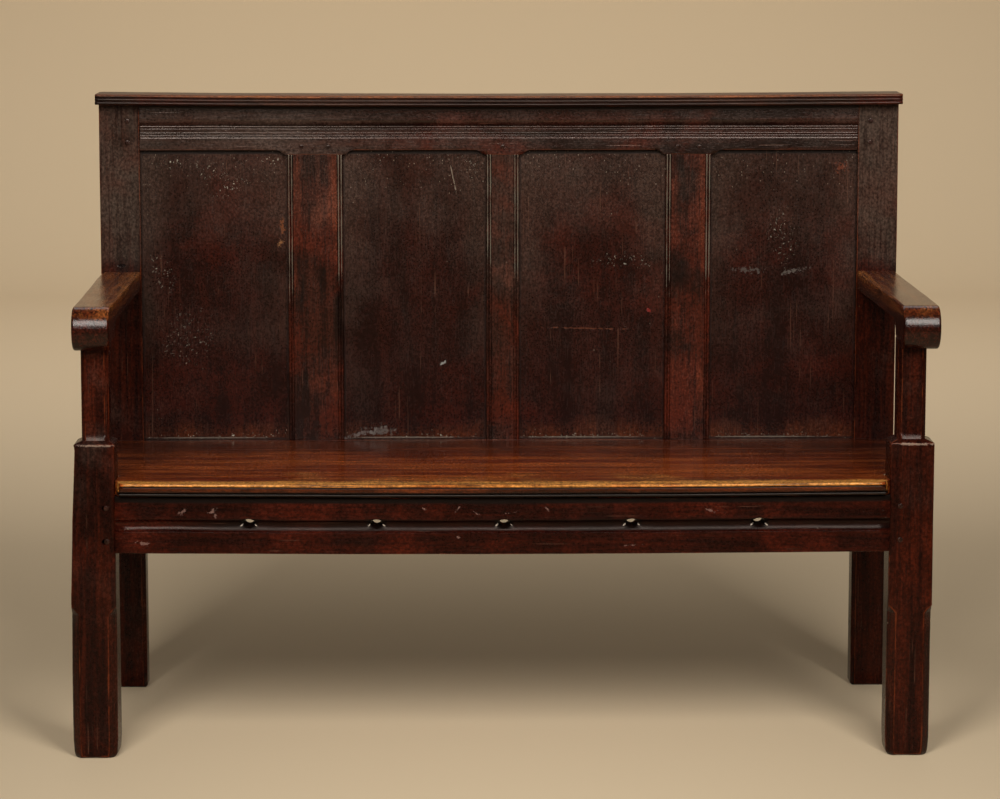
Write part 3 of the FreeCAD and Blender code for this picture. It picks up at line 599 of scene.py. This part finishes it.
def dustyRail(place):
    return 0.5 * eased(abs(place.x), 0.60, 0.63) * eased(-place.y, 0.27, 0.28)


frontRail = {**acrossPieces, "node": "front_rail", "name": "frontRail", "finish": railOak, "seed": 1,
             "shaping": wornRail, "grimed": railShadeAndGrime, "dusty": dustyRail, "leave": [(2, 0.376, 0.406)],
             "cuts": ([], [], [0.4245, 0.430, 0.435])}
backSeatRail = {**acrossPieces, "node": "back_seat_rail", "name": "backSeatRail", "finish": railOak, "seed": 2}

# top rail, grey with old wax toward the left
topOak = oakLike("topOak", shift=(0.7, 0.1, 0.3), middle=(0.0270, 0.0064, 0.0036),
                 greyWax=(0.051, 0.032, 0.023), streak=0.35, wearAmount=0.25, chalk=0.8, sheen=0.5)
topRail = {**acrossPieces, "node": "top_rail", "name": "topRail", "finish": topOak, "seed": 3,
           "shaping": sunkCap, "leave": [(2, 0.9832, 1.0056)],
           "cuts": ([-0.6285, 0.6285], [], [1.0325, 1.035, 1.0375]),
           # painted shadow under the cap's overhang
           "grimed": lambda p: 1.1 * eased(p.z, 1.0325, 1.0375),
           "bloomed": lambda p: 0.30 + 0.3 * eased(-p.x, 0.1, 0.4),
           "dusty": lambda p: 0.25 * eased(-p.x, 0.1, 0.5)}
for settings in (frontRail, backSeatRail, topRail):
    workedPiece(settings)
print("settle: rails worked")

# cap board, rubbed orange along its front nose
capOak = oakLike("capOak", shift=(0.9, 0.4, 0.2), middle=(0.030, 0.011, 0.0060),
                 handledDark=(0.060, 0.0160, 0.0050), handledLight=(0.135, 0.0360, 0.0100),
                 golden=(0.20, 0.060, 0.016), sheen=0.3, glossLow=0.28, glossHigh=0.44)


def cappedNose(place):
    top = eased(place.z, 1.0545, 1.0595)
    nose = 0.55 + 0.45 * eased(-place.y, -0.235, -0.222)
    ends = 0.75 + 0.25 * eased(0.65 - abs(place.x), 0.0, 0.3)
    return top * nose * ends


capBoard = {**acrossPieces, "node": "cap_board", "name": "capBoard", "slot": "cap_oak", "finish": capOak,
            "seed": 4, "along": "xy", "shaping": sunkCap, "handled": cappedNose}
workedPiece(capBoard)
print("settle: cap worked")

# seat boards, red at the back and golden on the nose
seatJoint = 0.124  # where the two boards meet
seatCracks = [scar((x, y, 0.4535 - y * 0.026), (long, wide), turn, darkCrack, 0.8, 3.0, "z")
              for x, y, long, wide, turn in (
                  (-0.02, 0.10, 0.045, 0.004, 8), (0.03, 0.06, 0.03, 0.003, -5),
                  (-0.15, -0.22, 0.02, 0.003, 25), (0.30, 0.14, 0.05, 0.004, 2),
                  (0.52, 0.13, 0.06, 0.005, -6), (-0.33, -0.12, 0.05, 0.003, 4))]
seatOak = oakLike("seatOak", shift=(0.3, 0.2, 0.5), figure=(2.2, 26, 26), dark=(0.020, 0.0040, 0.0014),
                  middle=(0.075, 0.0125, 0.0034), red=(0.120, 0.024, 0.0055), greyWax=(0.11, 0.03, 0.009),
                  handledDark=(0.140, 0.0180, 0.0030), handledLight=(0.330, 0.070, 0.0115),
                  golden=(0.60, 0.25, 0.050), handledBreak=0.7, bloom=0.0, glossLow=0.11, glossHigh=0.22,
                  leather=0.3, relief=0.00006, mottle=0.55, streak=0.75, pore=0.75, dentFrom=1.01,
                  sheen=0.26, sheenColour=(1.0, 0.85, 0.72), marks=seatCracks)


def satOn(place):
    # richer toward the front, golden along the nose, and dark under it
    front = 0.60 * eased(-place.y, -0.30, 0.10) + 0.14 * eased(-place.y, 0.10, 0.28)
    front *= 0.7 + 0.3 * eased(0.64 - abs(place.x), 0.0, 0.3)
    front += (1.05 - front) * eased(-place.y, 0.256, 0.286) * eased(0.628 - abs(place.x), 0.0, 0.01)
    if place.y > -0.296:
        return front
    nose = eased(place.z, 0.4545, 0.4572) * (0.25 + 0.75 * eased(0.626 - abs(place.x), 0.0, 0.02))
    return nose * 0.86 + (1 - nose) * 0.10


# painted shade at the back edge, in the quirk of the nose moulding and under the nose; the dark line along the
# board joint is the joint itself
def seatShadeAndJoint(place):
    joint = 0.9 * (1 - eased(abs(place.y - seatJoint), 0.0006, 0.0022)) * eased(place.x, -0.62, -0.45)
    back = 0.7 * eased(place.y, 0.240, 0.248)
    quirk = 0.9 * (1 - eased(abs(place.z - 0.4552), 0.0004, 0.0022)) * eased(-place.y, 0.296, 0.301)
    under = 1.2 * eased(-place.z, -0.4490, -0.4440) * eased(-place.y, 0.27, 0.295)
    return max(joint, back, quirk, under)


def wornNose(place):
    # the nose stands a little high at the front, waves where it was sat on, and drifts left with the rail
    if place.y < -0.2:
        place = place - Vector((railSizes["leftDrift"] * eased(-place.x, 0.5, 0.62), 0, 0))
    place = sunkSeat(place)
    front = eased(-place.y, 0.27, 0.30) * eased(place.z, 0.444, 0.455)
    wave = 0.5 + 0.5 * noise.noise(Vector((place.x * 5.0, 3.3, 0)))
    return place + Vector((0, 0, 0.0022 * eased(-place.y, 0.05, 0.28) - 0.0006 * front * wave))


seatPieces = {**acrossPieces, "slot": "seat_oak", "finish": seatOak, "along": "xy", "handled": satOn,
              "grimed": seatShadeAndJoint}
seatBoardFront = {**seatPieces, "node": "seat_board_front", "name": "seatBoardFront", "seed": 5,
                  "shaping": wornNose, "leave": [(1, -0.3095, -0.2945)],
                  "cuts": ([-0.618, 0.618],
                           [-0.3045, -0.3015, -0.292, -0.284, -0.276, -0.268, -0.260, 0.1215],
                           [0.4435, 0.4475, 0.4535, 0.4572])}
seatBoardBack = {**seatPieces, "node": "seat_board_back", "name": "seatBoardBack", "seed": 6,
                 "shaping": sunkSeat, "cuts": ([], [0.1265, 0.240, 0.244], [])}
for settings in (seatBoardFront, seatBoardBack):
    workedPiece(settings)
print("settle: seat worked")

# posts, with painted highlights along the rims of the front blocks
postScarsAndHighlights = [scar((-0.664, 0.249, 0.7585), (0.0085, 0.0030), 0, (0.002, 0.001, 0.001), 0.9, 0.5)]
for side in (-1, 1):
    postScarsAndHighlights += [scar((side * 0.666, -0.281, 0.5195), (0.034, 0.0020), 0, rimHighlight, 0.6, 4.0),
                  scar((side * 0.702, -0.281, 0.505), (0.0020, 0.014), 0, rimHighlight, 0.5, 4.0)]
postOak = oakLike("postOak", grain="z", shift=(0.2, 0.9, 0.4), dark=(0.0080, 0.0012, 0.0007),
                  middle=(0.0300, 0.0042, 0.0015), red=(0.0500, 0.0064, 0.0020),
                  greyWax=(0.056, 0.037, 0.026), bloom=0.85, wearAmount=0.45, sheen=0.18, marks=postScarsAndHighlights)


# painted sheen, greyer toward the top of the stile and near the arm, over the wax bloom
def stileBloomAndSheen(place):
    return 0.1 + 0.55 * eased(place.z, 0.72, 0.86) + 0.25 * eased(0.035 - abs(place.z - 0.775), 0.0, 0.025)


backPosts = [{**uprightPieces, "node": "back_post_" + side, "name": "backPost" + side.title(),
              "finish": postOak, "seed": seed, "bloomed": stileBloomAndSheen,
              "dusty": lambda p: 0.3 * eased(p.z, 0.9, 1.0)} for side, seed in (("left", 7), ("right", 8))]

frontLeg = {"middle": (0.664, -0.247), "wornHeight": 0.022, "wornShare": 0.10}
# the left post is narrower than the right one, and its leg leans outward: heights, then shifts
outerLean = ((0.0, 0.13, 0.20, 0.27, 0.33, 0.40, 0.464, 0.513, 0.525),
             (-0.0073, -0.0073, -0.0063, -0.0055, -0.0036, -0.0015, 0.0018, 0.0040, 0.0016))
innerLean = ((0.0, 0.13, 0.345, 0.515, 0.525), (-0.0060, -0.0055, -0.0040, -0.0040, -0.0010))


def trodFoot(place):
    # the foot is worn round where it meets the floor
    low = (1 - min(place.z / frontLeg["wornHeight"], 1.0)) ** 2
    middle = Vector((math.copysign(frontLeg["middle"][0], place.x), frontLeg["middle"][1], 0))
    share = frontLeg["wornShare"]
    return place - Vector(((place.x - middle.x) * share * low, (place.y - middle.y) * share * low, 0))


def leaningPost(place):
    share = min(max((place.x + 0.700) / 0.072, 0.0), 1.0)
    outer = float(np.interp(place.z, *outerLean))
    inner = float(np.interp(place.z, *innerLean))
    inner += 0.002 * eased(place.y, -0.27, -0.21) * eased(-place.z, -0.3, 0.0)
    return trodFoot(place) + Vector((outer * (1 - share) + inner * share, 0, 0))


frontPosts = [{**uprightPieces, "node": "front_post_left", "name": "frontPostLeft", "finish": postOak,
               "seed": 9, "along": "xyz", "shaping": leaningPost,
               "bloomed": lambda p: 0.22 * eased(p.z, 0.30, 0.45)},
              {**uprightPieces, "node": "front_post_right", "name": "frontPostRight", "finish": postOak,
               "seed": 10, "along": "xyz", "shaping": trodFoot,
               "bloomed": lambda p: 0.15 * eased(p.z, 0.30, 0.45)}]
for settings in backPosts + frontPosts:
    workedPiece(settings)
print("settle: posts worked")

# arms, worn smooth and tan on top
armOak = oakLike("armOak", grain="y", shift=(0.2, 0.6, 0.8), figure=(3.0, 60, 60),
                 dark=(0.010, 0.0016, 0.0007), middle=(0.030, 0.0040, 0.0015), red=(0.050, 0.0066, 0.0020),
                 wearAmount=0.4, handledDark=(0.085, 0.0150, 0.0035), handledLight=(0.200, 0.0560, 0.0120),
                 golden=(0.30, 0.10, 0.020), glossLow=0.13, glossHigh=0.22, relief=0.00015, pore=0.85,
                 streak=0.85, mottle=0.7, sheen=0.34, sheenColour=(1.0, 0.93, 0.86))


def handledArm(place):
    top = eased(place.z, 0.716, 0.742)
    edge = eased(-abs(place.x), -0.652, -0.640) * (1 - eased(-place.y, 0.27, 0.29))
    return top * (0.50 + 0.3 * edge)


def shiftedArm(place):
    # both arms stand a little to the right at the front
    return place + Vector((0.004 * eased(-place.y, -0.22, 0.22), 0, 0))


arms = [{**acrossPieces, "node": "arm_" + side, "name": "arm" + side.title(), "slot": "arm_oak",
         "finish": armOak, "seed": seed, "along": "xyz", "round": 0.0028, "steps": (0.01, 0.015, 0.01),
         "handled": handledArm, "shaping": shiftedArm}
        for side, seed in (("left", 11), ("right", 12))]
for settings in arms:
    workedPiece(settings)
print("settle: arms worked")

# side rails and bearers
sideOak = oakLike("sideOak", grain="y", shift=(0.9, 0.3, 0.2))
deepPieces = {**acrossPieces, "along": "y", "steps": (0.012, 0.03, 0.012), "finish": sideOak}
sideRails = [{**deepPieces, "node": "side_rail_" + side, "name": "sideRail" + side.title(), "seed": seed}
             for side, seed in (("left", 13), ("right", 14))]
bearers = [{**deepPieces, "node": "seat_bearer_" + side, "name": "bearer" + side.title(), "seed": seed,
            "shaping": sunkSeat} for side, seed in (("left", 15), ("right", 16))]
for settings in sideRails + bearers:
    workedPiece(settings)
print("settle: side rails and bearers worked")

# muntins, with two reeds along both edges
# its pale grey-green worn colour is partly a painted highlight on the reeds
muntinOak = oakLike("muntinOak", grain="z", shift=(2.2, 0.3, 0.6), redFrom=0.44,
                    middle=(0.0270, 0.0060, 0.0030), red=(0.0540, 0.0078, 0.0030),
                    handledDark=(0.060, 0.0090, 0.0030), handledLight=(0.115, 0.0200, 0.0062),
                    handledBreak=2.2, golden=(0.14, 0.032, 0.010), wornColour=(0.150, 0.135, 0.095),
                    wearFrom=1.16, wearAmount=0.55, sheen=0.42)
reedCrests = (0.0025, 0.0075)  # in from the edge of the muntin
reedCuts = (0.0096, 0.0112, 0.018, 0.026)


def reededMuntin(side, edges, seed, rubbedRed, extraBloomAndSheen):
    low, high = edges

    def inFrom(steps):
        return [x + way * step for x, way in ((low, 1), (high, -1)) for step in steps]

    def besideReeds(place):
        inward = min(place.x - low, high - place.x)
        height = rubbedRed * (0.3 + 0.7 * eased(place.z, 0.62, 0.85))
        return height * eased(0.030 - inward, 0.0, 0.016) * eased(inward, 0.0096, 0.0112)

    return {**uprightPieces, "node": "muntin_" + side, "name": "muntin" + side.title(), "finish": muntinOak,
            "seed": seed, "leave": [(0, low - 0.001, low + 0.0112), (0, high - 0.0112, high + 0.001)],
            # painted highlights along the reed crests in the pale grey-green worn colour, stronger toward the
            # top
            "rubs": [((x, 0.253, 0.60), (x, 0.253, 0.953)) for x in inFrom(reedCrests)],
            "reach": 0.0032, "band": 0.0013, "least": 0.0009, "cuts": (inFrom(reedCuts), [], []),
            "fading": lambda p: 0.55 + 0.45 * eased(p.z, 0.62, 0.80), "handled": besideReeds,
            # painted sheen rising toward the top, over the wax bloom
            "bloomed": lambda p: 0.3 * eased(p.z, 0.6, 0.95) + extraBloomAndSheen,
            "dusty": lambda p: 0.7 * eased(-p.z, -0.456, -0.449) + 0.5 * eased(p.z, 0.935, 0.95)}


muntins = [reededMuntin("left", (-0.372, -0.275), 17, 0.32, 0.0),
           reededMuntin("centre", (-0.0229, 0.035), 18, 0.05, 0.25),
           reededMuntin("right", (0.2925, 0.372), 19, 0.30, 0.0)]
for settings in muntins:
    workedPiece(settings)
print("settle: muntins worked")

# panels, each with its own scars
panelFace = 0.265
panelSides = ((-0.630, -0.372), (-0.275, -0.0229), (0.035, 0.2925), (0.372, 0.630))
panelCentres = (-0.5, -0.149, 0.164, 0.5)


def panelScar(x, z, half, turn, colour, amount, ragged):
    return scar((x, panelFace, z), half, turn, colour, amount, ragged)


def speckled(x, z, half, turn=0.0, amount=0.85):
    return scar((x, panelFace, z), half, turn, chalky, amount, 3.0, "y", True)


panelScars = (
    [panelScar(-0.3815, 0.828, (0.004, 0.016), 0, (0.20, 0.06, 0.02), 0.5, 7.0),
     panelScar(-0.3850, 0.796, (0.004, 0.008), 20, (0.30, 0.13, 0.05), 0.6, 7.0),
     speckled(-0.508, 0.925, (0.035, 0.016), 20), speckled(-0.565, 0.935, (0.030, 0.010)),
     speckled(-0.470, 0.895, (0.040, 0.014), -30), speckled(-0.402, 0.9427, (0.030, 0.012)),
     speckled(-0.595, 0.745, (0.020, 0.040), -25), speckled(-0.55, 0.63, (0.05, 0.05), 0, 0.5)],
    [panelScar(-0.246, 0.4560, (0.036, 0.004), -16, (0.11, 0.085, 0.075), 0.6, 5.0),
     panelScar(-0.213, 0.462, (0.024, 0.008), 0, (0.12, 0.10, 0.085), 0.5, 7.0),
     panelScar(-0.082, 0.915, (0.0010, 0.036), -12, (0.22, 0.17, 0.12), 0.6, 4.0),
     speckled(-0.050, 0.930, (0.018, 0.020), -12),
     panelScar(-0.100, 0.582, (0.007, 0.003), -40, (0.30, 0.28, 0.24), 0.6, 5.0)],
    [panelScar(0.156, 0.644, (0.074, 0.0016), 1.5, (0.10, 0.030, 0.014), 0.55, 5.0),
     panelScar(0.265, 0.676, (0.005, 0.004), 30, (0.20, 0.02, 0.015), 0.7, 3.0),
     speckled(0.225, 0.765, (0.060, 0.016), -4, 0.7)],
    [panelScar(0.437, 0.747, (0.022, 0.004), 3, (0.10, 0.085, 0.070), 0.45, 8.0),
     panelScar(0.516, 0.745, (0.022, 0.004), -12, (0.13, 0.11, 0.09), 0.45, 8.0),
     speckled(0.50, 0.80, (0.030, 0.050), 0, 0.6),
     panelScar(0.603, 0.928, (0.012, 0.009), 0, (0.15, 0.035, 0.015), 0.5, 6.0)],
)


# painted sheen, greyer toward the top and toward the sides of each panel, over the wax bloom
def panelBloomAndSheen(place):
    middle = min(abs(place.x - centre) for centre in panelCentres)
    side = eased(middle, 0.06, 0.13)
    return 0.15 + 0.4 * eased(place.z, 0.70, 0.92) + 0.25 * side * eased(place.z, 0.5, 0.7)


def dustyPanel(place):
    foot = 0.55 * eased(-place.z, -0.455, -0.449)
    head = 0.45 * eased(place.z, 0.88, 0.95)
    return max(foot, head)


# painted shade: black under the top rail, dark beside the stiles and muntins, and dark where the panel meets
# the seat
def panelShade(place):
    head = 1.3 * eased(place.z, 0.9520, 0.9550)
    toSide = min(min(abs(place.x - x) for x in edges) for edges in panelSides)
    side = 0.7 * (1 - eased(toSide, 0.0005, 0.004))
    foot = 0.7 * eased(-place.z, -0.4505, -0.448)
    return max(head, side, foot)


panelPieces = {**uprightPieces, "slot": "panel_oak", "swell": 0.0006, "grimed": panelShade,
               "bloomed": panelBloomAndSheen, "dusty": dustyPanel,
               # painted reflection of the seat: a warm glow at each panel's foot just above the seat, partly
               # wear too
               "handled": lambda p: 0.42 * eased(-p.z, -0.50, -0.45)}
for number, (edges, marks) in enumerate(zip(panelSides, panelScars), 1):
    centre = sum(edges) / 2
    footDust = [speckled(centre, 0.4525, (0.135, 0.0042), 0, 0.95),
                panelScar(centre - 0.02, 0.4496, (0.11, 0.0013), 0, (0.15, 0.12, 0.09), 0.55, 1.6)]
    panelOak = oakLike("panelOak" + str(number), grain="z", shift=(1.2, 0.3, 0.1 + number),
                       figure=(3.4, 26, 26), dark=(0.0080, 0.0015, 0.0009),
                       middle=(0.0165, 0.0029, 0.0016), red=(0.0280, 0.0038, 0.0018), streak=0.25,
                       greyWax=(0.043, 0.0245, 0.0165), pore=0.3, mottle=0.55, mottleScale=330.0,
                       leather=1.4, sheen=0.29, marks=marks + footDust)
    besideEdges = [x + step for x in edges for step in (-0.005, -0.002, 0.002, 0.005)]
    settings = {**panelPieces, "node": "back_panel_" + str(number), "name": "panel" + str(number),
                "finish": panelOak, "seed": 19 + number,
                "cuts": (besideEdges, [], [0.4485, 0.4515, 0.9515, 0.9535, 0.9555])}
    workedPiece(settings)
print("settle: panels worked")

# pegs, riven eight-sided and driven a little below or level with the face
pegOak = oakLike("pegOak", grain="y", shift=(0.5, 0.5, 0.5), figure=(60, 60, 60),
                 dark=(0.008, 0.0025, 0.0016), middle=(0.024, 0.0080, 0.0050), red=(0.026, 0.0080, 0.0050),
                 wornColour=(0.12, 0.085, 0.06), wearFrom=1.4, wearAmount=0.3)
pegPieces = {"slot": "peg_oak", "finish": pegOak, "sharp": 60, "along": "xyz", "shortest": 0.0001,
             "round": 0.0008, "steps": (0, 0, 0), "crease": 30, "swell": 0.0004, "shaping": sunkCap}
for nodeName in pegNodes:
    words = nodeName.split("_")
    settings = {**pegPieces, "node": nodeName, "name": words[0] + "".join(word.title() for word in words[1:]),
                "seed": 30 + len(nodeName)}
    workedPiece(settings)
print("settle: pegs worked")
